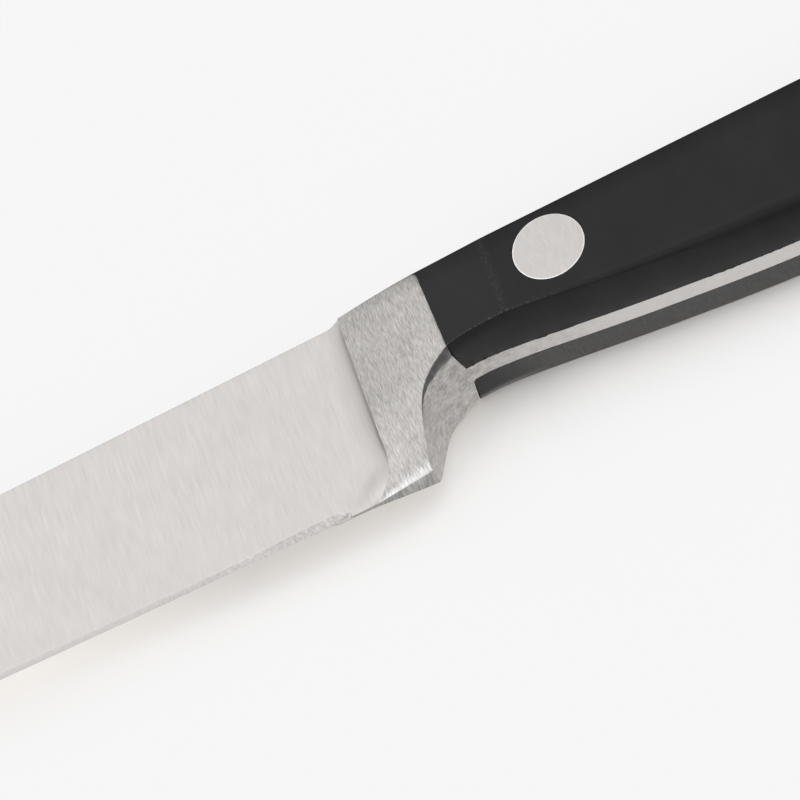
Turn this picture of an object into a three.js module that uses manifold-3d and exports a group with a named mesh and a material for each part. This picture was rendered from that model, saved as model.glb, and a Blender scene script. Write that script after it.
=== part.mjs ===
// A forged steak knife lying on its right side. Blade, bolster and tang are one piece of steel, and two
// moulded scales are held on the tang by three two-part rivets.
// Millimetres. +X runs to the butt, +Y to the spine, +Z up. Depth is measured down from the spine line,
// and x = 0 is where the bolster meets the scales.
import * as THREE from 'three';
import { mergeVertices } from 'three/addons/utils/BufferGeometryUtils.js';
import Module from 'manifold-3d';

// Blade
const BLADE_LENGTH = 130; // front of the bolster to the tip
const HEEL_HEIGHT = 21.2; // spine to edge at the heel
const STRAIGHT_SPINE = 62; // spine ahead of the bolster before it starts to fall
const TIP_DEPTH = 7.5; // how far the tip lies below the spine line
const TIP_BLUNT = 0.5; // height of the rounded-off point
const EDGE_RISE = 3.5; // rise of the edge along its straight run
const SPINE_THICKNESS = 2.1; // at the bolster
const TIP_THICKNESS = 1; // of the spine at the tip
const SPINE_EASE = 0.15; // broken corner along the spine
const EDGE_THICKNESS = 0.5; // just above the cutting bevel
const BEVEL_HEIGHT = 0.9; // height of the cutting bevel
const EDGE_LAND = 0.06; // width left on the cutting edge
const UNSHARPENED = 8.5; // length of edge beside the bolster that is left square
const BEVEL_RUN_IN = 2; // length over which the bevel then reaches its height

// Bolster
const BOLSTER_LENGTH = 9.3; // along the spine
const FRONT_THICKNESS = 5.5; // at the front edge
const COLLAR_THICKNESS = 10.7; // where it meets the scales
const COLLAR_DEPTH = 11.35; // side face at the scales
const COLLAR_ROOF = 0.6; // how far the belly falls from the side faces to the tang there
const COLLAR_LEAN = 0.035; // lean of the joint with the scales, per millimetre of depth
const HEEL_SETBACK = 6.4; // lower back corner, ahead of the scales
const HEEL_THICKNESS = 2.4; // at that corner
const HEEL_LIP = 0.15; // broken edge round the bottom
const ROUND_HEIGHT = 9; // height above the edge over which the side faces draw in
const NOTCH_REACH = 4.3; // corner of the finger notch, ahead of the scales
const NOTCH_DROP = 2.5; // the same corner, below the collar
const PLUNGE_RADIUS = 4.4; // hollow between the blade and the front edge
const PLUNGE_LEAN = 0.03; // lean of the front edge, per millimetre of depth
const PLUNGE_SWEEP = 2.9; // how far its foot sweeps forward
const SWEEP_HEIGHT = 3.85; // height of that sweep above the edge

// Tang and scales
const TANG_THICKNESS = 2.2;
const HANDLE_LENGTH = 100;
const HANDLE_THICKNESS = 12;
const FRONT_FACET = 7.4; // ground facet from the collar up to the flat sides
const SPINE_LAND = 0.3; // flat of each scale beside the tang, along the spine
const SPINE_ROUND = 3.4; // depth of the rounding along the spine
const ROOF_RISE = 1.15; // fall of the belly from the flat sides to the tang
const CREASE_FRONT = 0.25; // radius between side and belly at the front
const CREASE_REAR = 2.5; // the same, from the middle of the grip on
const CREASE_RUN = 42; // length over which it grows
const SWELL_DEPTH = 16.6; // belly at its fullest
const SWELL_AT = 52; // behind the bolster
const WAIST_DEPTH = 15.9; // belly where it is drawn in
const WAIST_BEFORE_END = 28; // ahead of the butt
const HOOK_DEPTH = 18.6; // belly at the butt
const BUTT_ROUND = 8; // length of the rounded end
const BUTT_DEPTH = 11; // middle of the rounded end
const BUTT_BLUNT = 1.2; // height left at the very end
const BUTT_EDGE = 2.2; // how far the sides draw in at the end
const SPINE_FALL = 1.6; // fall of the spine towards the butt
const SPINE_FALL_RUN = 45; // length of that fall
const JOINT_GAP = 0.02; // glue line between scale and steel

// Rivets
const FIRST_RIVET = 13.1; // behind the bolster
const RIVET_PITCH = 35;
const HEAD_DIAMETER = 7.5;
const HEAD_THICKNESS = 1.8;
const SHANK_DIAMETER = 4.4;
const PIN_DIAMETER = 2.6;
const PIN_SHORT = 1; // how far the pin stops short of the other head
const RIVET_FIT = 0.03; // clearance all round a rivet
const RIVET_SIDES = 24;

const { lerp, clamp, smoothstep } = THREE.MathUtils;
const tangHalf = TANG_THICKNESS / 2;
const handleHalf = HANDLE_THICKNESS / 2;
const collarHalf = COLLAR_THICKNESS / 2;
const spineFlat = tangHalf + SPINE_LAND;

// A point given by its place along the knife, its depth below the spine line and its distance off the middle.
const point = (x, depth, z) => new THREE.Vector3(x, -depth, z);

// Outlines of the blade

const bladeShare = (x) => clamp((-x - BOLSTER_LENGTH) / BLADE_LENGTH, 0, 1);

function bladeTop(x) {
  const fallen = Math.max(0, -x - BOLSTER_LENGTH - STRAIGHT_SPINE);
  return TIP_DEPTH * (fallen / (BLADE_LENGTH - STRAIGHT_SPINE)) ** 2;
}

function bladeEdge(x) {
  const share = bladeShare(x);
  const curl = HEEL_HEIGHT - EDGE_RISE - TIP_DEPTH - TIP_BLUNT;
  return HEEL_HEIGHT - EDGE_RISE * share - curl * share ** 4;
}

function bladeHalf(x, depth) {
  const spine = lerp(SPINE_THICKNESS, TIP_THICKNESS, bladeShare(x)) / 2;
  const across = (depth - bladeTop(x)) / (bladeEdge(x) - bladeTop(x));
  return lerp(spine, EDGE_THICKNESS / 2, clamp(across, 0, 1));
}

// Faces of the bolster

function collarProfile(x) {
  const ahead = Math.max(0, -x) / BOLSTER_LENGTH;
  return collarHalf - (COLLAR_THICKNESS - FRONT_THICKNESS) / 2 * ahead ** 1.5;
}

function bolsterHalf(x, depth) {
  const drawnIn = clamp((depth - HEEL_HEIGHT + ROUND_HEIGHT) / ROUND_HEIGHT, 0, 1);
  const thinning = 1 - HEEL_THICKNESS / 2 / collarProfile(-HEEL_SETBACK);
  return collarProfile(x) * (1 - thinning * drawnIn ** 2);
}

// How far the bolster's front edge stands ahead of its own upper end at a depth.
function plungeLean(depth) {
  const sweep = clamp((depth - HEEL_HEIGHT + SWEEP_HEIGHT) / SWEEP_HEIGHT, 0, 1);
  return PLUNGE_LEAN * depth + PLUNGE_SWEEP * sweep ** 2;
}

const collarLean = (depth) => COLLAR_LEAN * (depth - COLLAR_DEPTH);

// Half thickness of blade and bolster together, with a round hollow ahead of the bolster's front edge.
function steelHalf(x, depth) {
  const blade = bladeHalf(x, depth);
  const front = -BOLSTER_LENGTH - plungeLean(depth);
  if (x >= front) {
    return Math.max(blade, bolsterHalf(x, depth));
  }
  const step = Math.max(0, bolsterHalf(front, depth) - bladeHalf(front, depth));
  const radius = Math.max(PLUNGE_RADIUS, step);
  const reach = Math.sqrt(2 * radius * step - step ** 2);
  const inside = Math.max(0, reach - (front - x));
  return blade + radius - Math.sqrt(radius ** 2 - inside ** 2);
}

// Outlines of the handle

const bellyCurve = new THREE.SplineCurve([
  new THREE.Vector2(0, COLLAR_DEPTH + COLLAR_ROOF),
  new THREE.Vector2(SWELL_AT * 0.1, COLLAR_DEPTH + COLLAR_ROOF + (SWELL_DEPTH - COLLAR_DEPTH) * 0.03),
  new THREE.Vector2(SWELL_AT * 0.4, lerp(COLLAR_DEPTH + COLLAR_ROOF, SWELL_DEPTH, 0.52)),
  new THREE.Vector2(SWELL_AT * 0.68, lerp(COLLAR_DEPTH + COLLAR_ROOF, SWELL_DEPTH, 0.86)),
  new THREE.Vector2(SWELL_AT, SWELL_DEPTH),
  new THREE.Vector2(HANDLE_LENGTH - WAIST_BEFORE_END, WAIST_DEPTH),
  new THREE.Vector2(HANDLE_LENGTH - BUTT_ROUND, HOOK_DEPTH),
]);

function handleTop(x) {
  const fallen = clamp((x - HANDLE_LENGTH + SPINE_FALL_RUN) / SPINE_FALL_RUN, 0, 1);
  return SPINE_FALL * fallen ** 2;
}

// Stations from the bolster to the butt, each with the depths of spine and belly and the half thickness there.
function handleStations() {
  const stations = [];
  const alongBelly = 26;
  for (let i = 0; i <= alongBelly; i += 1) {
    const { x, y: belly } = bellyCurve.getPoint(i / alongBelly);
    const half = lerp(collarHalf, handleHalf, clamp(x / FRONT_FACET, 0, 1));
    stations.push({ x, top: handleTop(x), belly, half });
  }
  const roundTheEnd = 7;
  const { x: endStart, top, belly } = stations.at(-1);
  for (let i = 1; i <= roundTheEnd; i += 1) {
    const turn = Math.PI / 2 * i / roundTheEnd;
    stations.push({
      x: endStart + BUTT_ROUND * Math.sin(turn),
      top: lerp(BUTT_DEPTH - BUTT_BLUNT / 2, top, Math.cos(turn)),
      belly: lerp(BUTT_DEPTH + BUTT_BLUNT / 2, belly, Math.cos(turn)),
      half: handleHalf - BUTT_EDGE * (1 - Math.cos(turn)),
    });
  }
  return stations;
}

function middleDepth(x) {
  let before = 0;
  let after = 1;
  for (let i = 0; i < 40; i += 1) {
    const middle = (before + after) / 2;
    if (bellyCurve.getPoint(middle).x < x) {
      before = middle;
    } else {
      after = middle;
    }
  }
  return (handleTop(x) + bellyCurve.getPoint(before).y) / 2;
}

// Closed skins

// Joins rings of equally many points into a closed skin, with a flat cap on the first and the last ring.
// Each four-sided patch is split along its shorter diagonal.
function loft(rings) {
  const count = rings[0].length;
  const corners = rings.flat();
  const faces = [];
  for (let ring = 0; ring + 1 < rings.length; ring += 1) {
    for (let i = 0; i < count; i += 1) {
      const a = ring * count + i;
      const b = ring * count + (i + 1) % count;
      const [c, d] = [b + count, a + count];
      if (corners[b].distanceTo(corners[d]) < corners[a].distanceTo(corners[c])) {
        faces.push(a, b, d, b, c, d);
      } else {
        faces.push(a, b, c, a, c, d);
      }
    }
  }
  const cap = (ring) => THREE.ShapeUtils.triangulateShape(
    rings[ring].map((corner) => new THREE.Vector2(corner.y, corner.z)), []);
  for (const [a, b, c] of cap(0)) {
    faces.push(a, c, b);
  }
  const last = (rings.length - 1) * count;
  for (const [a, b, c] of cap(rings.length - 1)) {
    faces.push(last + a, last + b, last + c);
  }
  const skin = new THREE.BufferGeometry();
  skin.setAttribute('position', new THREE.Float32BufferAttribute(corners.flatMap((corner) => corner.toArray()), 3));
  skin.setIndex(faces);
  return skin;
}

// Merges shared corners and leaves out the faces that had no area.
function welded(skin) {
  const bare = skin.clone();
  bare.deleteAttribute('normal');
  bare.deleteAttribute('uv');
  const merged = mergeVertices(bare, 1e-4);
  const index = merged.getIndex();
  const faces = [];
  for (let i = 0; i < index.count; i += 3) {
    const [a, b, c] = [index.getX(i), index.getX(i + 1), index.getX(i + 2)];
    if (a !== b && b !== c && c !== a) {
      faces.push(a, b, c);
    }
  }
  merged.setIndex(faces);
  return merged;
}

const wasm = await Module();
wasm.setup();

function solid(skin) {
  const closed = welded(skin);
  return new wasm.Manifold(new wasm.Mesh({
    numProp: 3,
    vertProperties: new Float32Array(closed.getAttribute('position').array),
    triVerts: new Uint32Array(closed.getIndex().array),
  }));
}

function cut(skin, tools) {
  const mesh = tools.reduce((body, tool) => body.subtract(solid(tool)), solid(skin)).getMesh();
  const left = new THREE.BufferGeometry();
  left.setAttribute('position', new THREE.Float32BufferAttribute(mesh.vertProperties, 3));
  left.setIndex(new THREE.Uint32BufferAttribute(mesh.triVerts, 1));
  return left;
}

// A turned skin about the Z axis from [radius, height] corners that run up the outside.
function turned(profile, x, depth) {
  const outline = profile.map(([radius, height]) => new THREE.Vector2(radius, height));
  const skin = new THREE.LatheGeometry(outline, RIVET_SIDES);
  return skin.rotateX(Math.PI / 2).translate(x, -depth, 0);
}

// Steel: one side of a section from the spine down, which is then mirrored into a closed ring

function mirroredRing(side) {
  return [...side, ...side.toReversed().map(({ x, y, z }) => new THREE.Vector3(x, y, -z))];
}

const ROUND_STEPS = 4;
const FACE_STEPS = 8;

function steelRing({ xAt, top, crease, bottom, bottomHalf }) {
  const spineHalf = steelHalf(xAt(top), top);
  const flat = Math.min(spineFlat, spineHalf - SPINE_EASE);
  const roundShare = (spineHalf - flat) / (handleHalf - spineFlat);
  const round = Math.min(SPINE_ROUND * roundShare, (crease - top) / 3);
  const side = [];
  for (let i = 0; i <= ROUND_STEPS; i += 1) {
    const turn = Math.PI / 2 * i / ROUND_STEPS;
    const depth = top + round * (1 - Math.cos(turn));
    side.push(point(xAt(depth), depth, lerp(flat, steelHalf(xAt(depth), depth), Math.sin(turn))));
  }
  for (let i = 1; i <= FACE_STEPS; i += 1) {
    const depth = lerp(top + round, crease, i / FACE_STEPS);
    side.push(point(xAt(depth), depth, steelHalf(xAt(depth), depth)));
  }
  side.push(point(xAt(bottom), bottom, bottomHalf));
  return mirroredRing(side);
}

// A section of the blade that follows the slanting front edge of the bolster by a share.
function bladeRing(ahead, slant) {
  const middle = -BOLSTER_LENGTH - ahead;
  const xAt = (depth) => middle - slant * plungeLean(depth);
  const top = bladeTop(middle);
  const bottom = bladeEdge(middle);
  const sharp = smoothstep(ahead + slant * plungeLean(bottom), UNSHARPENED, UNSHARPENED + BEVEL_RUN_IN);
  const bevel = Math.min(BEVEL_HEIGHT, (bottom - top) / 3);
  const blunt = steelHalf(xAt(bottom), bottom);
  return steelRing({
    xAt,
    top,
    bottom,
    crease: bottom - lerp(HEEL_LIP, bevel, sharp),
    bottomHalf: lerp(blunt - EDGE_LAND, EDGE_LAND / 2, sharp),
  });
}

function bladeRings() {
  const rings = [];
  const alongBlade = 22;
  const slantFade = 15;
  for (let i = alongBlade; i > 0; i -= 1) {
    const ahead = lerp(PLUNGE_RADIUS, BLADE_LENGTH, (i / alongBlade) ** 1.2);
    rings.push(bladeRing(ahead, clamp(1 - (ahead - PLUNGE_RADIUS) / slantFade, 0, 1)));
  }
  const alongHollow = 7;
  for (let i = alongHollow; i >= 0; i -= 1) {
    rings.push(bladeRing(PLUNGE_RADIUS * (i / alongHollow) ** 1.3, 1));
  }
  return rings;
}

function bolsterRings() {
  const rings = [];
  const alongHeel = 5;
  for (let i = 1; i <= alongHeel; i += 1) {
    const back = i / alongHeel;
    const middle = lerp(-BOLSTER_LENGTH, -HEEL_SETBACK, back);
    const xAt = (depth) => middle - (1 - back) * plungeLean(depth);
    rings.push(steelRing({
      xAt,
      top: 0,
      crease: HEEL_HEIGHT - HEEL_LIP,
      bottom: HEEL_HEIGHT,
      bottomHalf: steelHalf(xAt(HEEL_HEIGHT), HEEL_HEIGHT) - EDGE_LAND,
    }));
  }
  const corner = new THREE.Vector2(-NOTCH_REACH, COLLAR_DEPTH + NOTCH_DROP);
  const notch = new THREE.CubicBezierCurve(
    new THREE.Vector2(-HEEL_SETBACK, HEEL_HEIGHT - HEEL_LIP),
    corner,
    corner,
    new THREE.Vector2(0, COLLAR_DEPTH),
  );
  const alongNotch = 12;
  for (let i = 1; i <= alongNotch; i += 1) {
    const back = i / alongNotch;
    const { x, y: crease } = notch.getPoint(back);
    rings.push(steelRing({
      xAt: (depth) => x + back * COLLAR_LEAN * (depth - crease),
      top: 0,
      crease,
      bottom: crease + lerp(HEEL_LIP, COLLAR_ROOF, back),
      bottomHalf: lerp(HEEL_THICKNESS / 2 - EDGE_LAND, tangHalf, back),
    }));
  }
  return rings;
}

// The tang keeps the depths of the collar's section, shared out between its own spine and belly.
function tangRings(collarRing, stations) {
  const sideCount = collarRing.length / 2;
  const collarBottom = COLLAR_DEPTH + COLLAR_ROOF;
  const shares = collarRing.slice(0, sideCount).map((corner) => -corner.y / collarBottom);
  const lastLean = stations[3].x;
  return stations.map(({ x, top, belly }) => {
    const lean = clamp(1 - x / lastLean, 0, 1);
    const side = shares.map((share) => {
      const depth = lerp(top, belly, share);
      return point(x + lean * collarLean(depth), depth, tangHalf);
    });
    return mirroredRing(side);
  });
}

// Scales: a section from the tang's spine corner over the outside to its belly corner

const SCALE_ROUND_STEPS = 6;
const SCALE_CREASE_STEPS = 4;

function scaleRing({ x, top, belly, half }, lean, gap) {
  const inner = tangHalf + JOINT_GAP;
  const height = belly - top;
  const xAt = (depth) => x + gap + lean * collarLean(depth);
  const corner = (depth, z) => point(xAt(depth), depth, z);
  const round = Math.min(SPINE_ROUND * (half - spineFlat) / (handleHalf - spineFlat), height * 0.4);
  const roof = Math.min(lerp(COLLAR_ROOF, ROOF_RISE, clamp(x / FRONT_FACET, 0, 1)), height * 0.2);
  const crease = new THREE.Vector2(belly - roof, half);
  const soft = Math.min(lerp(CREASE_FRONT, CREASE_REAR, clamp(x / CREASE_RUN, 0, 1)), height * 0.2);
  const down = new THREE.Vector2(roof, inner - half).normalize();
  const blend = new THREE.QuadraticBezierCurve(
    new THREE.Vector2(crease.x - soft, half),
    crease,
    crease.clone().addScaledVector(down, soft),
  );
  const ring = [corner(top, inner)];
  for (let i = 0; i <= SCALE_ROUND_STEPS; i += 1) {
    const turn = Math.PI / 2 * i / SCALE_ROUND_STEPS;
    ring.push(corner(top + round * (1 - Math.cos(turn)), lerp(spineFlat, half, Math.sin(turn))));
  }
  for (const { x: depth, y: z } of blend.getPoints(SCALE_CREASE_STEPS)) {
    ring.push(corner(depth, z));
  }
  ring.push(corner(belly, inner));
  return ring;
}

function scaleSkin(stations, sideSign) {
  const lastLean = stations[3].x;
  const rings = stations.map((station, i) => {
    const lean = clamp(1 - station.x / lastLean, 0, 1);
    return scaleRing(station, lean, i === 0 ? JOINT_GAP : 0);
  });
  if (sideSign > 0) {
    return loft(rings);
  }
  const flip = ({ x, y, z }) => new THREE.Vector3(x, y, -z);
  return loft(rings.map((ring) => ring.map(flip).reverse()));
}

// Rivets: a half with a tube and a half with a pin, and the cutter for their holes

const headInside = handleHalf - HEAD_THICKNESS;
const headRadius = HEAD_DIAMETER / 2;
const shankRadius = SHANK_DIAMETER / 2;
const pinRadius = PIN_DIAMETER / 2;

const socketProfile = [
  [0, headInside - PIN_SHORT + RIVET_FIT],
  [pinRadius + RIVET_FIT, headInside - PIN_SHORT + RIVET_FIT],
  [pinRadius + RIVET_FIT, -headInside + RIVET_FIT],
  [shankRadius, -headInside + RIVET_FIT],
  [shankRadius, headInside],
  [headRadius, headInside],
  [headRadius, handleHalf],
  [0, handleHalf],
];

const pinProfile = [
  [0, -handleHalf],
  [headRadius, -handleHalf],
  [headRadius, -headInside],
  [pinRadius, -headInside],
  [pinRadius, headInside - PIN_SHORT],
  [0, headInside - PIN_SHORT],
];

const holeProfile = [
  [0, -handleHalf - HEAD_THICKNESS],
  [headRadius + RIVET_FIT, -handleHalf - HEAD_THICKNESS],
  [headRadius + RIVET_FIT, -headInside + RIVET_FIT],
  [shankRadius + RIVET_FIT, -headInside + RIVET_FIT],
  [shankRadius + RIVET_FIT, headInside - RIVET_FIT],
  [headRadius + RIVET_FIT, headInside - RIVET_FIT],
  [headRadius + RIVET_FIT, handleHalf + HEAD_THICKNESS],
  [0, handleHalf + HEAD_THICKNESS],
];

const rivets = ['front', 'middle', 'rear'].map((place, i) => {
  const x = FIRST_RIVET + i * RIVET_PITCH;
  return { place, x, depth: middleDepth(x) };
});
const rivetHoles = rivets.map(({ x, depth }) => turned(holeProfile, x, depth));

// The knife, with its lowest side on z = 0 and the middle of its length and height on the Z axis

const satinSteel = { color: 0xd3cfcc, roughness: 0.38, metalness: 1 };
const blackPlastic = { color: 0x383639, roughness: 0.55, metalness: 0 };
const rivetSteel = { color: 0xcfcbc8, roughness: 0.34, metalness: 1 };

const knife = new THREE.Group();
const lowestEdge = Math.max(HEEL_HEIGHT, HOOK_DEPTH);
knife.position.set((BLADE_LENGTH + BOLSTER_LENGTH - HANDLE_LENGTH) / 2, lowestEdge / 2, handleHalf);

function addPiece(name, skin, finish) {
  const piece = new THREE.Mesh(welded(skin), new THREE.MeshStandardMaterial(finish));
  piece.geometry.computeVertexNormals();
  piece.name = name;
  knife.add(piece);
}

const stations = handleStations();
const bolster = bolsterRings();
const steel = loft([...bladeRings(), ...bolster, ...tangRings(bolster.at(-1), stations)]);

addPiece('blade_forging', cut(steel, rivetHoles), satinSteel);
addPiece('scale_left', cut(scaleSkin(stations, 1), rivetHoles), blackPlastic);
addPiece('scale_right', cut(scaleSkin(stations, -1), rivetHoles), blackPlastic);
for (const { place, x, depth } of rivets) {
  addPiece(`rivet_${place}_socket`, turned(socketProfile, x, depth), rivetSteel);
  addPiece(`rivet_${place}_pin`, turned(pinProfile, x, depth), rivetSteel);
}

export default knife;
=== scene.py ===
# A forged steak knife lying on its right side: one steel forging, two moulded scales and three rivets.
# Sizes are in metres. Places are measured from the collar, where the bolster meets the scales: x runs
# back to the butt, depth runs down from the spine line, and z is the distance off the middle plane.
import math

import bpy
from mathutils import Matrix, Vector, noise


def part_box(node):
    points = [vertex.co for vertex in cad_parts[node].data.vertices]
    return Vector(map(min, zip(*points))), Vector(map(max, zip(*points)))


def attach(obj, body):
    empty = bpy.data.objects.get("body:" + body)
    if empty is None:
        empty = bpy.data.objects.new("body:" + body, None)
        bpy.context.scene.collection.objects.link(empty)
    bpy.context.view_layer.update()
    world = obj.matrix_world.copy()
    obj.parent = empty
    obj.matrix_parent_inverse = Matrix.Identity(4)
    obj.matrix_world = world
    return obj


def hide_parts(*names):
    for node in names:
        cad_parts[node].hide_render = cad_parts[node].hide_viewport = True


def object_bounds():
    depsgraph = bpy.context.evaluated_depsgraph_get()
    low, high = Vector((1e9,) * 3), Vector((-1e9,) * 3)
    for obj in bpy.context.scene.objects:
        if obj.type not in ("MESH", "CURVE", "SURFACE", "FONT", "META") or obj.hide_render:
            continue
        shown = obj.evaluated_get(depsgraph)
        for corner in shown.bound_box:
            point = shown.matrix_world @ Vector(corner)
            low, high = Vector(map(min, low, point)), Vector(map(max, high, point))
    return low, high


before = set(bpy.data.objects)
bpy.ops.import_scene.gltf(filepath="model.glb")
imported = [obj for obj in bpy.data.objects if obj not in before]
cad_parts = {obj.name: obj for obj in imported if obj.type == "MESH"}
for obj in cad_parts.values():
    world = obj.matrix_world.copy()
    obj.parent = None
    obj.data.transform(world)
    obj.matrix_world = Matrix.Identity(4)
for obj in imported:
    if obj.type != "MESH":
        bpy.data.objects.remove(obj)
cad_low, cad_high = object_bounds()


# Camera
# A long lens looks down on the left side from the belly, close in on the bolster, so that the blade and
# the handle run out of the picture. The collar is found from the front rivet, a set way ahead of it.
mm = 0.001
FIRST_RIVET = 13.1 * mm
LENS_LENGTH = 270
CAMERA_FROM_COLLAR = Vector((53.059, -358.150, 474.282)) * mm
CAMERA_TURN = (31.541, 19.633, -18.899)

steel_low, steel_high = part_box("blade_forging")
rivet_low, rivet_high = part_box("rivet_front_socket")
collar = Vector((
    (rivet_low.x + rivet_high.x) / 2 - FIRST_RIVET,
    steel_high.y,
    (steel_low.z + steel_high.z) / 2,
))

bpy.ops.object.camera_add(
    location=collar + CAMERA_FROM_COLLAR,
    rotation=[math.radians(angle) for angle in CAMERA_TURN],
)
camera = bpy.context.object
camera.name = "camera"
camera.data.lens = LENS_LENGTH
bpy.context.scene.camera = camera
bpy.context.scene.view_settings.view_transform = "Standard"


# Forging
# Blade, bolster and full tang are one piece of stainless steel, drop forged from a bar. The sides are
# ground on a belt that runs from spine to edge, and the notch and the tang's edges are belted lengthways.
BOLSTER_LENGTH = 9.3 * mm
BLADE_LENGTH = collar.x - steel_low.x - BOLSTER_LENGTH
HEEL_HEIGHT = steel_high.y - steel_low.y
STRAIGHT_SPINE = 62 * mm
TIP_DEPTH = 7.5 * mm
TIP_BLUNT = 0.5 * mm
EDGE_RISE = 3.5 * mm
EDGE_CURL = 4
SPINE_THICKNESS = 2.1 * mm
TIP_THICKNESS = 1 * mm
SPINE_EASE = 0.15 * mm
EDGE_THICKNESS = 0.37 * mm
BEVEL_HEIGHT = 0.61 * mm
BEVEL_START = 0.98 * mm
BEVEL_SETTLES = 14 * mm
BEVEL_WANDER = 0.05
BEVEL_WANDER_LENGTH = 2.2 * mm
UNSHARPENED = 6.2 * mm
UNSHARPENED_RIGHT = 8 * mm
FIRST_BITE = 0.55
NEXT_BITE = 1.5 * mm
BEVEL_RUN_IN = 0.8 * mm
LARGEST_BEVEL = 1 / 3
FRONT_THICKNESS = 5.5 * mm
COLLAR_THICKNESS = steel_high.z - steel_low.z
COLLAR_FLARE = 1.5
COLLAR_DEPTH = 11.35 * mm
COLLAR_ROOF = 0.6 * mm
COLLAR_LEAN = 0.01
COLLAR_LEAN_RUN = 7 * mm
HEEL_SETBACK = 6.4 * mm
HEEL_THICKNESS = 2.7 * mm
HEEL_LIP = 0.02 * mm
CURL_HEIGHT = 0.7 * mm
CURL_DRAW = 0.2 * mm
ROUND_HEIGHT = 9 * mm
NOTCH_REACH = 4.3 * mm
NOTCH_DROP = 2.5 * mm
CHAMFER_WIDTH = 1.2 * mm
CHAMFER_START = 0.2
CHAMFER_LEAST = 0.02
CHAMFER_CURVE = 1.15
PLUNGE_RADIUS = 4.4 * mm
PLUNGE_TIGHT = 1.9 * mm
PLUNGE_OPENS = 9 * mm
PLUNGE_LEAN = 0.03
PLUNGE_SWEEP = 2.6 * mm
SWEEP_HEIGHT = 3.85 * mm
FOOT_HEIGHT = 4 * mm
FOOT_SOFTNESS = 3
SLANT_FADE = 15 * mm
TANG_THICKNESS = 2.2 * mm
ROOT_REACH = 0.5 * mm
ROOT_RUN = 3 * mm
LEFT_FILLET = 0.05 * mm
RIGHT_FILLET = 0.35 * mm
SPINE_LAND = 0.3 * mm
SPINE_SHOULDER = 4.2 * mm
LARGEST_SHOULDER = 1 / 3
CORNER_DEPTH = 0.43
CORNER_WIDTH = 0.95
CROWN_CURVE = 1.6
SHOULDER_CURVE = 1.5
EDGE_BREAK = 0.06 * mm
COLLAR_ROUND = 0.75 * mm
COLLAR_ROUND_TOP = 1.2 * mm
COLLAR_ROUND_END = 2.15 * mm
COLLAR_ROUND_ONSET = 8
WALL_MARGIN = 0.14 * mm

_, scale_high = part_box("scale_left")
HANDLE_HALF = scale_high.z - collar.z
HANDLE_LENGTH = scale_high.x - collar.x
TANG_HALF = TANG_THICKNESS / 2
SPINE_FLAT = TANG_HALF + SPINE_LAND


def mix(first, second, share):
    """The value at a share of the way from the first to the second."""
    return first + (second - first) * share


def share_of(value, start, end):
    """How far a value has come from start to end, kept between 0 and 1."""
    return min(1, max(0, (value - start) / (end - start)))


def eased(share):
    """A share that starts and ends gently."""
    return share * share * (3 - 2 * share)


OFF_GRID = 0.5


def wavering(along):
    """Smooth noise along a line between the noise's own grid points, where it is nothing."""
    return noise.noise(Vector((along, OFF_GRID, OFF_GRID)))


def blade_share(x):
    return share_of(-x, BOLSTER_LENGTH, BOLSTER_LENGTH + BLADE_LENGTH)


def blade_top(x):
    fallen = max(0, -x - BOLSTER_LENGTH - STRAIGHT_SPINE)
    return TIP_DEPTH * (fallen / (BLADE_LENGTH - STRAIGHT_SPINE)) ** 2


def blade_edge(x):
    share = blade_share(x)
    curl = HEEL_HEIGHT - EDGE_RISE - TIP_DEPTH - TIP_BLUNT
    return HEEL_HEIGHT - EDGE_RISE * share - curl * share ** EDGE_CURL


def blade_half(x, depth):
    """Half thickness of the ground blade, which tapers to its edge and its tip."""
    spine = mix(SPINE_THICKNESS, TIP_THICKNESS, blade_share(x)) / 2
    return mix(spine, EDGE_THICKNESS / 2, share_of(depth, blade_top(x), blade_edge(x)))


def collar_profile(x):
    """Half thickness of the bolster's upper part, which flares back to the collar."""
    ahead = max(0, -x) / BOLSTER_LENGTH
    return (COLLAR_THICKNESS - (COLLAR_THICKNESS - FRONT_THICKNESS) * ahead ** COLLAR_FLARE) / 2


def bolster_half(x, depth):
    """Half thickness of the bolster, drawn in towards the heel and curled in at its lower edge."""
    drawn_in = share_of(depth, HEEL_HEIGHT - ROUND_HEIGHT, HEEL_HEIGHT)
    thinning = 1 - HEEL_THICKNESS / 2 / collar_profile(-HEEL_SETBACK)
    curl = CURL_DRAW * share_of(depth, HEEL_HEIGHT - CURL_HEIGHT, HEEL_HEIGHT) ** 2
    return collar_profile(x) * (1 - thinning * drawn_in ** 2) - curl


def plunge_lean(depth):
    """How far the bolster's front runs ahead at a depth: a lean, and a sweep at its foot."""
    sweep = share_of(depth, HEEL_HEIGHT - SWEEP_HEIGHT, HEEL_HEIGHT)
    return PLUNGE_LEAN * depth + PLUNGE_SWEEP * sweep ** 2


def steel_half(x, depth):
    """Half thickness of blade or bolster, with the plunge's round hollow between them."""
    blade = blade_half(x, depth)
    front = -BOLSTER_LENGTH - plunge_lean(depth)
    if x >= front:
        return max(blade, bolster_half(x, depth))
    step = max(0, bolster_half(front, depth) - blade_half(front, depth))
    foot = share_of(depth, HEEL_HEIGHT - FOOT_HEIGHT, HEEL_HEIGHT)
    opened = mix(PLUNGE_TIGHT, PLUNGE_RADIUS, share_of(depth, 0, PLUNGE_OPENS))
    radius = max(opened * (1 + FOOT_SOFTNESS * foot ** 2), step)
    reach = math.sqrt(2 * radius * step - step ** 2)
    inside = max(0, reach - (front - x))
    return blade + radius - math.sqrt(radius ** 2 - inside ** 2)


CORNER_PLACE = 6
ROUND_STEPS = 12
FACE_STEPS = 40
FACE_CROWDING = 1.3
WALL_STEPS = 16
WALL_CROWDING = 1.8
CREASE_PLACE = ROUND_STEPS + FACE_STEPS


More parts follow.
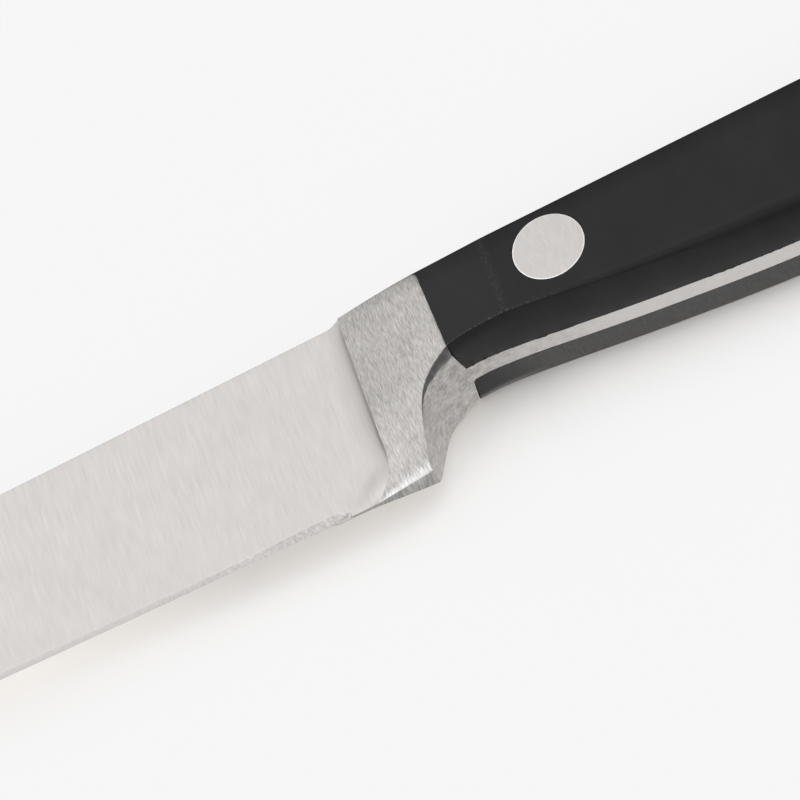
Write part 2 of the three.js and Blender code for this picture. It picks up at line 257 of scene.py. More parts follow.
def spine_profile():
    """Shares of depth and half thickness, from the spine's flat over crown and corner to the side."""
    shares = []
    for step in range(CORNER_PLACE + 1):
        along = step / CORNER_PLACE
        shares.append((CORNER_DEPTH * along ** CROWN_CURVE, CORNER_WIDTH * along))
    for step in range(1, ROUND_STEPS - CORNER_PLACE + 1):
        along = step / (ROUND_STEPS - CORNER_PLACE)
        shares.append((mix(CORNER_DEPTH, 1, along), 1 - (1 - CORNER_WIDTH) * (1 - along) ** SHOULDER_CURVE))
    return shares


def steel_side(x_at, top, crease, drop):
    """Half of a section, from the spine's flat down the side and across to the underside's middle."""
    spine_half = steel_half(x_at(top), top)
    flat = min(SPINE_FLAT, spine_half - SPINE_EASE)
    shoulder = SPINE_SHOULDER * (spine_half - flat) / (HANDLE_HALF - SPINE_FLAT)
    shoulder = min(shoulder, (crease - top) * LARGEST_SHOULDER)
    side = []
    for down, out in spine_profile():
        depth = top + shoulder * down
        side.append((x_at(depth), depth, mix(flat, steel_half(x_at(depth), depth), out)))
    for step in range(1, FACE_STEPS + 1):
        depth = mix(crease, top + shoulder, (1 - step / FACE_STEPS) ** FACE_CROWDING)
        side.append((x_at(depth), depth, steel_half(x_at(depth), depth)))
    edge_half = side[-1][2]
    margin = max(edge_half - WALL_MARGIN, edge_half / 2)
    for step in range(1, WALL_STEPS + 1):
        z = margin * (1 - ((step - 1) / (WALL_STEPS - 1)) ** WALL_CROWDING)
        depth = crease + drop(z / edge_half, edge_half)
        side.append((x_at(depth), depth, z))
    return side


def blade_side(ahead, slant, unsharpened):
    """A side of the blade at a distance ahead of the bolster, with its bevel."""
    middle = -BOLSTER_LENGTH - ahead
    top = blade_top(middle)
    bottom = blade_edge(middle)
    past = ahead + slant * plunge_lean(bottom) - unsharpened
    first, rest = (eased(share_of(past, start, start + BEVEL_RUN_IN)) for start in (0, NEXT_BITE))
    sharp = mix(rest, first, FIRST_BITE)
    settled = eased(share_of(ahead, unsharpened, unsharpened + BEVEL_SETTLES))
    wander = 1 + BEVEL_WANDER * wavering(middle / BEVEL_WANDER_LENGTH)
    bevel = mix(BEVEL_START, BEVEL_HEIGHT, settled) * wander
    lip = mix(HEEL_LIP, min(bevel, (bottom - top) * LARGEST_BEVEL), sharp)
    return steel_side(
        lambda depth: middle - slant * plunge_lean(depth),
        top,
        bottom - lip,
        lambda across, half: mix(min(lip, (1 - across) * half), lip * (1 - across), sharp),
    )


def heel_side(back):
    """A side of the bolster ahead of the notch, over the heel's lower edge."""
    middle = mix(-BOLSTER_LENGTH, -HEEL_SETBACK, back)
    return steel_side(
        lambda depth: middle - (1 - back) * plunge_lean(depth),
        0,
        HEEL_HEIGHT - HEEL_LIP,
        lambda across, half: min(HEEL_LIP, (1 - across) * half),
    )


def chamfer_share(inside, width):
    """How much of a chamfer's slope is left inside the edge: all at the edge, none past its width."""
    return max(0, 1 - inside / width) ** CHAMFER_CURVE


def collar_round(depth):
    """How far the collar's line turns forward where it runs over the spine's corner."""
    return COLLAR_ROUND * (1 - share_of(depth, COLLAR_ROUND_TOP, COLLAR_ROUND_END)) ** 2


def notch_side(back):
    """A side of the bolster over the finger notch, which curves from the heel up to the collar."""
    start = Vector((-HEEL_SETBACK, HEEL_HEIGHT - HEEL_LIP))
    corner = Vector((-NOTCH_REACH, COLLAR_DEPTH + NOTCH_DROP))
    end = Vector((0, COLLAR_DEPTH))
    ahead = 1 - back
    x, crease = ahead ** 3 * start + 3 * ahead * back * corner + back ** 3 * end
    grown = max(CHAMFER_LEAST, share_of(back, CHAMFER_START, 1))

    def x_at(depth):
        turned = back ** COLLAR_ROUND_ONSET * collar_round(depth)
        return x + back * COLLAR_LEAN * (depth - crease) - turned

    def roof_drop(across, half):
        sloped = chamfer_share((1 - across) * half, CHAMFER_WIDTH * grown)
        return COLLAR_ROOF * grown * (1 - sloped)

    return steel_side(x_at, 0, crease, roof_drop)


SWELL_DEPTH = 16.6 * mm
SWELL_AT = 52 * mm
WAIST_DEPTH = 15.9 * mm
WAIST_BEFORE_END = 28 * mm
HOOK_DEPTH = 18.6 * mm
BUTT_ROUND = 8 * mm
BUTT_DEPTH = 11 * mm
BUTT_BLUNT = 1.2 * mm
SPINE_FALL = 1.6 * mm
SPINE_FALL_RUN = 45 * mm
COLLAR_BELLY = COLLAR_DEPTH + COLLAR_ROOF
LEAD_RUN, LEAD_FALL = 0.1, 0.03
SWELL_SHARES = ((0.4, 0.52), (0.68, 0.86))
BELLY_POINTS = [Vector(point) for point in (
    (0, COLLAR_BELLY),
    (SWELL_AT * LEAD_RUN, COLLAR_BELLY + (SWELL_DEPTH - COLLAR_DEPTH) * LEAD_FALL),
    *((SWELL_AT * run, mix(COLLAR_BELLY, SWELL_DEPTH, fall)) for run, fall in SWELL_SHARES),
    (SWELL_AT, SWELL_DEPTH),
    (HANDLE_LENGTH - WAIST_BEFORE_END, WAIST_DEPTH),
    (HANDLE_LENGTH - BUTT_ROUND, HOOK_DEPTH),
)]
STEPS_PER_SPAN = 50
BUTT_STEPS = 28


def belly_point(along):
    """A point on the smooth curve through the belly's points, each with the mean slope of its neighbours."""
    last = len(BELLY_POINTS) - 1
    span = min(int(along), last - 1)
    before, start, end, after = (
        BELLY_POINTS[min(last, max(0, place))] for place in range(span - 1, span + 3)
    )
    t = along - span
    slope_in, slope_out = (end - before) / 2, (after - start) / 2
    bend = 2 * (start - end) + slope_in + slope_out
    curve = 3 * (end - start) - 2 * slope_in - slope_out
    return bend * t ** 3 + curve * t ** 2 + slope_in * t + start


def handle_top(x):
    """Depth of the handle's spine, which falls off towards the butt."""
    return SPINE_FALL * share_of(x, HANDLE_LENGTH - SPINE_FALL_RUN, HANDLE_LENGTH) ** 2


# Stations of the handle: x, the depths of spine and belly, and how far round the butt's end they are.
handle_stations = []
for step in range((len(BELLY_POINTS) - 1) * STEPS_PER_SPAN + 1):
    x, belly = belly_point(step / STEPS_PER_SPAN)
    handle_stations.append((x, handle_top(x), belly, 0))
end_x, end_top, end_belly, _ = handle_stations[-1]
for step in range(1, BUTT_STEPS + 1):
    turn = math.pi / 2 * step / BUTT_STEPS
    handle_stations.append((
        end_x + BUTT_ROUND * math.sin(turn),
        mix(BUTT_DEPTH - BUTT_BLUNT / 2, end_top, math.cos(turn)),
        mix(BUTT_DEPTH + BUTT_BLUNT / 2, end_belly, math.cos(turn)),
        1 - math.cos(turn),
    ))


def root_fillet(x, radius):
    """How much thicker the tang is in the round corner at the bolster's back."""
    short = max(0, radius - x)
    return radius - math.sqrt(radius ** 2 - short ** 2)


def root_reach(x, z):
    """How far the bolster's back swells towards the tang: nothing at its sides, most at the tang."""
    return ROOT_REACH * (1 - share_of(z, TANG_HALF, COLLAR_THICKNESS / 2)) * (1 - share_of(x, 0, ROOT_RUN))


def tang_side(x, top, belly, collar_side, fillet):
    """A side of the tang, with as many points as the collar's."""
    lean = COLLAR_LEAN * (1 - share_of(x, 0, COLLAR_LEAN_RUN))
    half = TANG_HALF + root_fillet(x, fillet)
    side = []
    for place, (_, collar_depth, _) in enumerate(collar_side):
        depth = mix(top, belly, collar_depth / COLLAR_BELLY)
        z = half
        if place >= CREASE_PLACE:
            depth = belly
            z = half * (1 - (place - CREASE_PLACE) / WALL_STEPS)
        turned = collar_round(depth - top) * (1 - share_of(x, 0, ROOT_RUN))
        side.append((x + root_reach(x, half) - turned + lean * (depth - COLLAR_DEPTH), depth, z))
    return side


SKIN_WELD = 0.002 * mm
HALF_GRID = 0.5


def at(x, depth, z):
    return collar + Vector((x, -depth, z))


def skin_over(name, sections, finish_at):
    """A grid laid over sections of equally many points like a sleeve, with its seam and both ends closed."""
    around, along = len(sections[0]), len(sections) - 1
    bpy.ops.object.select_all(action="DESELECT")
    bpy.ops.mesh.primitive_grid_add(x_subdivisions=around, y_subdivisions=along, size=2 * HALF_GRID)
    piece = bpy.context.object
    piece.name = piece.data.name = name
    mesh = piece.data
    places = [round((corner.co.x + HALF_GRID) * around) for corner in mesh.vertices]
    stations = [round((corner.co.y + HALF_GRID) * along) for corner in mesh.vertices]
    for corner, place, station in zip(mesh.vertices, places, stations):
        corner.co = at(*sections[station][place % around])
    for title, values in (("place", places), ("station", stations)):
        mesh.attributes.new(title, "INT", "POINT").data.foreach_set("value", values)
    for face in mesh.polygons:
        face.material_index = finish_at(
            min(places[corner] for corner in face.vertices),
            min(stations[corner] for corner in face.vertices),
        )
    bpy.ops.object.mode_set(mode="EDIT")
    bpy.ops.mesh.select_all(action="SELECT")
    bpy.ops.mesh.remove_doubles(threshold=SKIN_WELD)
    bpy.ops.mesh.fill_holes(sides=0)
    bpy.ops.mesh.select_all(action="SELECT")
    bpy.ops.mesh.normals_make_consistent(inside=False)
    bpy.ops.object.mode_set(mode="OBJECT")
    return piece


def break_edges(piece, width, wanted):
    """Rounds over the wanted edges of a sleeve mesh, each known by the (place, station) of its two ends."""
    mesh = piece.data
    labels = list(zip(
        (value.value for value in mesh.attributes["place"].data),
        (value.value for value in mesh.attributes["station"].data),
    ))
    for item in (*mesh.vertices, *mesh.edges, *mesh.polygons):
        item.select = False
    for edge in mesh.edges:
        edge.select = wanted(*(labels[corner] for corner in edge.vertices))
    bpy.ops.object.mode_set(mode="EDIT")
    bpy.ops.mesh.select_mode(type="EDGE")
    bpy.ops.mesh.bevel(offset=width, segments=2, affect="EDGES", clamp_overlap=True)
    bpy.ops.object.mode_set(mode="OBJECT")


BLADE_STEPS = 120
BLADE_CROWDING = 1.2
HOLLOW_STEPS = 32
HOLLOW_CROWDING = 1.15
HEEL_STEPS = 14
HEEL_CROWDING = 1.2
NOTCH_STEPS = 44

blade_stations = []
for step in range(BLADE_STEPS, 0, -1):
    blade_stations.append(mix(PLUNGE_RADIUS, BLADE_LENGTH, (step / BLADE_STEPS) ** BLADE_CROWDING))
for step in range(HOLLOW_STEPS, -1, -1):
    blade_stations.append(PLUNGE_RADIUS * (step / HOLLOW_STEPS) ** HOLLOW_CROWDING)
steel_sides, right_sides = [], []
for ahead in blade_stations:
    slant = 1 - share_of(ahead, PLUNGE_RADIUS, PLUNGE_RADIUS + SLANT_FADE)
    steel_sides.append(blade_side(ahead, slant, UNSHARPENED))
    right_sides.append(blade_side(ahead, slant, UNSHARPENED_RIGHT))
front_station = len(steel_sides) - 1
for step in range(1, HEEL_STEPS + 1):
    steel_sides.append(heel_side((step / HEEL_STEPS) ** HEEL_CROWDING))
heel_station = len(steel_sides) - 1
for step in range(1, NOTCH_STEPS + 1):
    steel_sides.append(notch_side(step / NOTCH_STEPS))
collar_station = len(steel_sides) - 1
right_sides += steel_sides[front_station + 1:]
for x, top, belly, _ in handle_stations:
    steel_sides.append(tang_side(x, top, belly, steel_sides[collar_station], LEFT_FILLET))
    right_sides.append(tang_side(x, top, belly, steel_sides[collar_station], RIGHT_FILLET))

steel_sections = []
for left, right in zip(steel_sides, right_sides):
    steel_sections.append(left + [(x, depth, -z) for x, depth, z in reversed(right[:-1])])
last_place = len(steel_sections[0]) - 1
unsharpened_station = sum(
    side[CREASE_PLACE][0] < -BOLSTER_LENGTH - UNSHARPENED for side in steel_sides
)
BLADE_FINISH, BEVEL_FINISH, BOLSTER_FINISH, BELTED_FINISH, HEEL_FINISH = range(5)


def is_underside(place):
    return CREASE_PLACE <= place < last_place - CREASE_PLACE


def steel_finish(place, station):
    """Which finish a face of the forging has."""
    if station >= collar_station or place == last_place:
        return BELTED_FINISH
    if is_underside(place):
        if station >= heel_station:
            return BELTED_FINISH
        return BEVEL_FINISH if station < unsharpened_station else HEEL_FINISH
    return BLADE_FINISH if station < front_station else BOLSTER_FINISH


forging = skin_over("forging", steel_sections, steel_finish)


def steel_corner(first, second):
    """Whether grinding leaves the edge crisp: bolster's front and spine, collar, heel corner, notch."""
    (place, station), (other_place, other_station) = first, second
    low, high = sorted(min(number, last_place - number) for number in (place, other_place))
    if station == other_station == front_station:
        return CORNER_PLACE <= low and steel_sides[station][high][1] < HEEL_HEIGHT - FOOT_HEIGHT
    if station == other_station == collar_station:
        return CORNER_PLACE <= low and high <= CREASE_PLACE
    if station == other_station:
        return station == heel_station and CREASE_PLACE <= low
    first_station = {CORNER_PLACE: front_station, CREASE_PLACE: heel_station}.get(low)
    if low != high or first_station is None:
        return False
    return first_station <= min(station, other_station) and max(station, other_station) <= collar_station


break_edges(forging, EDGE_BREAK, steel_corner)

# Painted highlights: a streaky bright band along the curl under the bolster, and pale lines on the bolster's
# front edge and the notch's edges.
CURL_HIGHLIGHT = 2.1 * mm
CURL_HIGHLIGHT_FULL = 0.1 * mm
CURL_HIGHLIGHT_FRONT = 14 * mm
CURL_HIGHLIGHT_FADE = 2.6 * mm
EDGE_HIGHLIGHT = 0.5
# Painted shade: a dark band along the notch's edge, and a darker corner and hollow at the plunge ahead of
# the bolster.
SHADE_BAND_WIDTH = 1.35 * mm
SHADE_BAND_FADE = (0.85, 1.05)
CORNER_SHADE = 0.6
SPINE_SHADE = 0.3
SHADE_FULL_DEPTH = HEEL_HEIGHT / 2
SHADE_ENDS = (4.8 * mm, 2.8 * mm)
SHADE_STATIONS = 4
HOLLOW_SHADE = 0.11
HOLLOW_SHADE_TURN = math.radians(27)
JOINT_GAP = 0.02 * mm


def hollow_shade(x, depth, z):
    """How much shade is painted into the plunge's hollow, where its side has turned a little out of the
    blade's flat.
    """
    opened = mix(PLUNGE_TIGHT, PLUNGE_RADIUS, share_of(depth, 0, PLUNGE_OPENS))
    turned = math.acos(max(-1, 1 - max(0, z - blade_half(x, depth)) / opened))
    return HOLLOW_SHADE * math.sin(math.pi * share_of(turned, 0, HOLLOW_SHADE_TURN))


def steel_highlight(place, station):
    """How much highlight is painted on the steel: along the curl under the bolster, on its front edge and on
    the notch's edges.
    """
    if station > collar_station:
        return 0
    x, depth, _ = steel_sides[station][place]
    if station > heel_station:
        on_edge = place == CREASE_PLACE or station == collar_station and place < CREASE_PLACE
        return EDGE_HIGHLIGHT if on_edge else 0
    if place > CREASE_PLACE:
        return 0
    pale_mark = max(CURL_HIGHLIGHT * share_of(x, -CURL_HIGHLIGHT_FRONT, -HEEL_SETBACK), 2 * CURL_HIGHLIGHT_FULL)
    low = share_of(depth, HEEL_HEIGHT - pale_mark, HEEL_HEIGHT - CURL_HIGHLIGHT_FULL)
    front = EDGE_HIGHLIGHT if station == front_station and depth < HEEL_HEIGHT - FOOT_HEIGHT else 0
    return max(low * share_of(x, -CURL_HIGHLIGHT_FRONT, CURL_HIGHLIGHT_FADE - CURL_HIGHLIGHT_FRONT), front)


def steel_painted_shade(place, station):
    """How much dark shade is painted on the steel: a painted shadow in the plunge's corner and hollow ahead
    of the bolster, and a dark band of painted shade along the notch's edge.
    """
    x, depth, z = steel_sides[station][place]
    if station < front_station and ROUND_STEPS <= place <= CREASE_PLACE:
        near = max(0, 1 - (front_station - 1 - station) / SHADE_STATIONS)
        deep = mix(SPINE_SHADE, 1, share_of(depth, 0, SHADE_FULL_DEPTH))
        kept = 1 - share_of(HEEL_HEIGHT - depth, *SHADE_ENDS)
        return max(CORNER_SHADE * near * deep * kept, hollow_shade(x, depth, z))
    if place <= CREASE_PLACE or not heel_station < station <= collar_station:
        return 0
    width = SHADE_BAND_WIDTH * share_of((station - heel_station) / NOTCH_STEPS, CHAMFER_START, 1) + JOINT_GAP
    inside = steel_sides[station][CREASE_PLACE][2] - z
    fade_start, fade_end = (width * share for share in SHADE_BAND_FADE)
    return 1 - eased(share_of(inside, fade_start, fade_end))


for title, amount in (("wear_and_highlight", steel_highlight), ("painted_shade", steel_painted_shade)):
    labels = zip(forging.data.attributes["place"].data, forging.data.attributes["station"].data)
    values = []
    for place, station in labels:
        folded = min(place.value, last_place - place.value)
        unshaded = amount == steel_painted_shade and place.value != folded and folded > CREASE_PLACE
        values.append(0 if unshaded else amount(folded, station.value))
    forging.data.attributes.new(title, "FLOAT", "POINT").data.foreach_set("value", values)


class Finish:
    """A node material: the shader's even values are set on its sockets, and patterns are wired into them."""

    def __init__(self, name, **even):
        self.material = bpy.data.materials.new(name)
        self.material.use_nodes = True
        self.tree = self.material.node_tree
        self.shader = self.tree.nodes["Principled BSDF"]
        for socket, value in even.items():
            self.shader.inputs[socket.replace("_", " ")].default_value = value
        self.place = self.node("ShaderNodeTexCoord").outputs["Object"]

    def node(self, kind, inputs=(), **settings):
        made = self.tree.nodes.new(kind)
        for name, value in settings.items():
            setattr(made, name, value)
        for socket, value in dict(inputs).items():
            if isinstance(value, bpy.types.NodeSocket):
                self.tree.links.new(value, made.inputs[socket])
            else:
                made.inputs[socket].default_value = value
        return made

    def grain(self, size, turn=(0, 0, 0), detail=3, roughness=0.55):
        """Noise whose grains have that length along x, y and z, turned by degrees."""
        turned = self.node("ShaderNodeMapping", {
            "Vector": self.place,
            "Rotation": [math.radians(angle) for angle in turn],
        }, vector_type="TEXTURE")
        sized = self.node("ShaderNodeMapping", {
            "Vector": turned.outputs["Vector"],
            "Scale": [1 / length for length in size],
        })
        made = self.node("ShaderNodeTexNoise", {
            "Vector": sized.outputs["Vector"],
            "Scale": 1,
            "Detail": detail,
            "Roughness": roughness,
        })
        return made.outputs["Fac"]

    def spread(self, value, low, high, start=0.3, end=0.7):
        """The pattern's middle range laid out from low to high."""
        return self.node("ShaderNodeMapRange", {
            "Value": value,
            "From Min": start,
            "From Max": end,
            "To Min": low,
            "To Max": high,
        }).outputs["Result"]

    def product(self, first, second):
        return self.node("ShaderNodeMath", {0: first, 1: second}, operation="MULTIPLY").outputs["Value"]

    def sum(self, first, second):
        return self.node("ShaderNodeMath", {0: first, 1: second}, operation="ADD").outputs["Value"]

    def average(self, first, second, share=0.5):
        return self.node("ShaderNodeMix", {"Factor": share, "A": first, "B": second}).outputs["Result"]

    def tint(self, dark, light, share):
        """A colour between two, by a pattern from 0 to 1."""
        mixed = self.node("ShaderNodeMix", data_type="RGBA")
        for socket, value in (("Factor", share), ("A", dark), ("B", light)):
            target = next(i for i in mixed.inputs if i.name == socket and i.enabled)
            if isinstance(value, bpy.types.NodeSocket):
                self.tree.links.new(value, target)
            else:
                target.default_value = (*value, 1)
        return next(o for o in mixed.outputs if o.enabled)

    def wire(self, socket, output):
        self.tree.links.new(output, self.shader.inputs[socket])

    def relief(self, height, depth):
        bump = self.node("ShaderNodeBump", {"Height": height, "Strength": 1, "Distance": depth})
        self.wire("Normal", bump.outputs["Normal"])


STEEL = (0.53, 0.511, 0.497)
SATIN_SPREAD = (1.15, 0.85)
# Colour, smoothness and strength of the painted highlights on the steel.
HIGHLIGHT_STEEL = (0.82, 0.81, 0.8)
RUBBED_ROUGHNESS = 0.38
HIGHLIGHT_STRENGTH = 1.5
STREAK_GAP = -1.25
# Colour of the painted shade in the plunge's corner and hollow and along the notch's edge.
PAINTED_SHADE_STEEL = (0.115, 0.108, 0.108)
SHADE_CLOUD = (0.8, 1.1)
CALMED = 0.85


def ground_steel(
    name, tone, contrast, roughness, relief, strokes, cloud_size=6 * mm, cloud_share=0.25, calm=None,
):
    """Satin steel with belt strokes: two crossing sets of fine lines and a slow cloud, each size in x, y, z.
    The strokes calm down to a level of their pattern between two places along x, if these are given."""
    finish = Finish(name, Metallic=1)
    lines = finish.average(*(finish.grain(size, turn) for size, turn in strokes))
    cloud = finish.grain((cloud_size, cloud_size, cloud_size), detail=1)
    pattern = finish.spread(finish.average(lines, cloud, cloud_share), 0, 1)
    if calm:
        along = finish.node("ShaderNodeSeparateXYZ", {"Vector": finish.place}).outputs["X"]
        start, end, level = calm
        pattern = finish.average(pattern, level, finish.spread(along, 0, CALMED, start, end))
    dark = [channel * tone * (1 - contrast) for channel in STEEL]
    light = [channel * tone * (1 + contrast) for channel in STEEL]
    wear_and_highlight = finish.node("ShaderNodeAttribute", attribute_name="wear_and_highlight").outputs["Fac"]
    painted_shade = finish.node("ShaderNodeAttribute", attribute_name="painted_shade").outputs["Fac"]
    # Painted highlights: the steel is brightened in streaks, and made smoother, where its attribute says.
    streaked_highlight = finish.sum(finish.product(wear_and_highlight, HIGHLIGHT_STRENGTH), finish.spread(lines, STREAK_GAP, 0))
    ground = finish.tint(finish.tint(dark, light, pattern), HIGHLIGHT_STEEL, streaked_highlight)
    # Painted shade: the steel is darkened, patchily, where its attribute says.
    painted_shade_left = finish.product(painted_shade, finish.spread(cloud, *SHADE_CLOUD))
    finish.wire("Base Color", finish.tint(ground, PAINTED_SHADE_STEEL, painted_shade_left))
    satin = finish.spread(lines, *(roughness * share for share in SATIN_SPREAD))
    finish.wire("Roughness", finish.average(satin, RUBBED_ROUGHNESS, streaked_highlight))
    finish.relief(lines, relief)
    return finish.material


forging_finishes = (
    ground_steel(
        "blade_satin", tone=1.07, contrast=0.045, roughness=0.36, relief=0.003 * mm,
        strokes=[
            ((0.13 * mm, 4 * mm, 3 * mm), (0, 0, 1.5)),
            ((0.22 * mm, 2.6 * mm, 3 * mm), (0, 0, -3)),
        ],
    ),
    ground_steel(
        "cutting_bevel", tone=0.89, contrast=0.28, roughness=0.36, relief=0.012 * mm,
        strokes=[
            ((0.16 * mm, 0.6 * mm, 0.6 * mm), (0, 0, 30)),
            ((0.3 * mm, 0.5 * mm, 0.5 * mm), (0, 0, -10)),
        ],
        cloud_share=0.1, calm=(collar.x - 20 * mm, collar.x - 40 * mm, 0.68),
    ),
    ground_steel(
        "bolster_satin", tone=0.81, contrast=0.46, roughness=0.38, relief=0.012 * mm,
        strokes=[
            ((0.075 * mm, 1 * mm, 1 * mm), (0, 0, 6)),
            ((0.11 * mm, 0.8 * mm, 0.8 * mm), (0, 0, -6)),
        ],
        cloud_share=0.15,
    ),
    # Behind the collar its strokes calm towards the light end of their pattern: a painted reflection that
    # lightens the tang's edges towards the butt.
    ground_steel(
        "belted_steel", tone=0.86, contrast=0.46, roughness=0.42, relief=0.012 * mm,
        strokes=[
            ((0.7 * mm, 0.7 * mm, 0.11 * mm), (0, 0, 0)),
            ((0.3 * mm, 0.3 * mm, 0.22 * mm), (12, 0, 0)),
        ],
        cloud_size=1.1 * mm, cloud_share=0.3, calm=(collar.x, collar.x + 16 * mm, 1),
    ),
    ground_steel(
        "heel_ground", tone=0.75, contrast=0.5, roughness=0.42, relief=0.012 * mm,
        strokes=[
            ((0.14 * mm, 1 * mm, 2 * mm), (0, 12, 0)),
            ((0.35 * mm, 1 * mm, 1.5 * mm), (0, -8, 0)),
        ],
    ),
)
for finish in forging_finishes:
    forging.data.materials.append(finish)
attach(forging, "root")
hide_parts("blade_forging")


# Scales
# Two slabs of black moulded plastic, glued and riveted to the tang and ground flush with it on a belt.
# The front of each is ground down to the bolster on a slant, and their belly corners soften to the rear.
FRONT_FACET = 6.9 * mm
FACET_BLEND = 0.5 * mm
FACET_LEAN = -0.05
FACET_LEAN_END = 14 * mm
FACET_PIVOT = 6.7 * mm
ROOF_RISE = 1.1 * mm
ROOF_GROWS = (17 * mm, 39 * mm)
CREST_RUN = 8 * mm
CREST_CURVE = 0.5
CREASE_FRONT = 0.14 * mm
CREASE_RUN = 42 * mm
BUTT_EDGE = 2.2 * mm
SHOULDER_SHARE = 0.4
BELLY_SHARE = 0.2
RAG_LENGTH = 0.45 * mm
LEFT_BELLY = {
    "ragged": 0.14 * mm,
    "fillet": LEFT_FILLET,
    "crease_rear": 1 * mm,
    "roof_rear": 1.6 * mm,
    "curve": 2.4,
}
RIGHT_BELLY = {
    "ragged": 0.02 * mm,
    "fillet": RIGHT_FILLET,
    "crease_rear": 0.5 * mm,
    "roof_rear": 1.1 * mm,
    "curve": 1,
}
SCALE_SIDE_STEPS = 14
SCALE_CREASE_STEPS = 10
SCALE_BELLY_STEPS = 14
SPINE_BREAK = 0.2 * mm


def facet_half(x):
    """Half thickness of the handle: the ground facet, a short blend and the flat side."""
    slope = (HANDLE_HALF - COLLAR_THICKNESS / 2) / FRONT_FACET
    past = x - FRONT_FACET
    if past > FACET_BLEND:
        return HANDLE_HALF
    if past < -FACET_BLEND:
        return HANDLE_HALF + slope * past
    return HANDLE_HALF - slope * (FACET_BLEND - past) ** 2 / (4 * FACET_BLEND)


def station_lean(x):
    """How far a section leans: with the collar, then with the facet's slanted end, then not at all."""
    if x < FRONT_FACET:
        return mix(COLLAR_LEAN, FACET_LEAN, x / FRONT_FACET)
    return FACET_LEAN * (1 - eased(share_of(x, FRONT_FACET, FACET_LEAN_END)))


def scale_section(x, top, belly, butt, ragged, fillet, crease_rear, roof_rear, curve):
    """One section of the left scale, from the tang's spine corner over the outside to its belly corner."""
    half = facet_half(x) - BUTT_EDGE * butt
    inner = TANG_HALF + JOINT_GAP + root_fillet(x, fillet)
    height = belly - top
    shoulder = SPINE_SHOULDER * (half - SPINE_FLAT) / (HANDLE_HALF - SPINE_FLAT)
    shoulder = min(shoulder, height * SHOULDER_SHARE)
    rise = mix(ROOF_RISE, roof_rear, eased(share_of(x, *ROOF_GROWS)))
    roof = min(mix(COLLAR_ROOF, rise, share_of(x, 0, FRONT_FACET)), height * BELLY_SHARE)
    levelled = share_of(x, 0, CREST_RUN) ** CREST_CURVE
    soft = min(mix(CREASE_FRONT, crease_rear, share_of(x, 0, CREASE_RUN)), height * BELLY_SHARE)

    def belly_at(across):
        chamfer = chamfer_share((1 - across) * (half - inner), CHAMFER_WIDTH)
        return belly - roof * mix(chamfer, across ** curve, levelled), mix(inner, half, across)

    section = [(top, inner)]
    for down, out in spine_profile():
        section.append((top + shoulder * down, mix(SPINE_FLAT, half, out)))
    crease_start = belly - roof - soft
    for step in range(1, SCALE_SIDE_STEPS):
        section.append((mix(top + shoulder, crease_start, step / SCALE_SIDE_STEPS), half))
    across_end = 1 - soft / (half - inner)
    start, corner, end = (Vector(p) for p in ((crease_start, half), belly_at(1), belly_at(across_end)))
    for step in range(SCALE_CREASE_STEPS + 1):
        t = step / SCALE_CREASE_STEPS
        section.append((1 - t) ** 2 * start + 2 * t * (1 - t) * corner + t ** 2 * end)
    for step in range(1, SCALE_BELLY_STEPS + 1):
        section.append(belly_at(across_end * (1 - (step / SCALE_BELLY_STEPS) ** WALL_CROWDING)))
    rag = ragged * wavering(x / RAG_LENGTH)
    section[-1] = (section[-1][0] + rag, section[-1][1])
    lean = station_lean(x)
    pivot = mix(COLLAR_DEPTH, FACET_PIVOT, share_of(x, 0, FRONT_FACET))
    front_gap = JOINT_GAP if x == 0 else 0
    shifted = []
    for depth, z in section:
        turned = collar_round(depth - top) * (1 - share_of(x, 0, ROOT_RUN))
        shifted.append((x + front_gap + root_reach(x, z) - turned + lean * (depth - pivot), depth, z))
    return shifted


CREASE_MIDDLE = ROUND_STEPS + SCALE_SIDE_STEPS + SCALE_CREASE_STEPS // 2 + 1
WEAR_RUN = 15 * mm
WEAR_PLACES = 3
# A faint painted highlight along the end of the front facet.
FACET_HIGHLIGHT = 0.18
FACET_HIGHLIGHT_WIDTH = 0.7 * mm


def wear_and_highlight_at(place, x):
    """How pale an edge of the scale is: rubbed at the front of the crease, and a painted highlight along the
    end of the facet.
    """
    crease = max(0, 1 - abs(place - CREASE_MIDDLE) / WEAR_PLACES) * (1 - share_of(x, 0, WEAR_RUN))
    facet = FACET_HIGHLIGHT * max(0, 1 - abs(x - FRONT_FACET) / FACET_HIGHLIGHT_WIDTH)
    return max(crease, facet if CORNER_PLACE < place < CREASE_MIDDLE else 0)


def make_scale(name, side, belly):
    """One scale, on the left (1) or the right (-1), with its rubbed crease and its painted facet highlight
    marked.
    """
    sections = [scale_section(*station, **belly) for station in handle_stations]
    piece = skin_over(
        name,
        [[(x, depth, side * z) for x, depth, z in section] for section in sections],
        lambda place, station: 0,
    )
    break_edges(piece, SPINE_BREAK, lambda first, second: first[0] == second[0] == CORNER_PLACE + 1)
    labels = zip(piece.data.attributes["place"].data, piece.data.attributes["station"].data)
    wear_and_highlight = [wear_and_highlight_at(place.value, handle_stations[station.value][0]) for place, station in labels]
    piece.data.attributes.new("scale_wear_and_highlight", "FLOAT", "POINT").data.foreach_set("value", wear_and_highlight)
    return piece


left_scale = make_scale("left_scale", 1, LEFT_BELLY)
right_scale = make_scale("right_scale", -1, RIGHT_BELLY)

BLACK_PLASTIC = ((0.0105, 0.01, 0.011), (0.0145, 0.0138, 0.015))
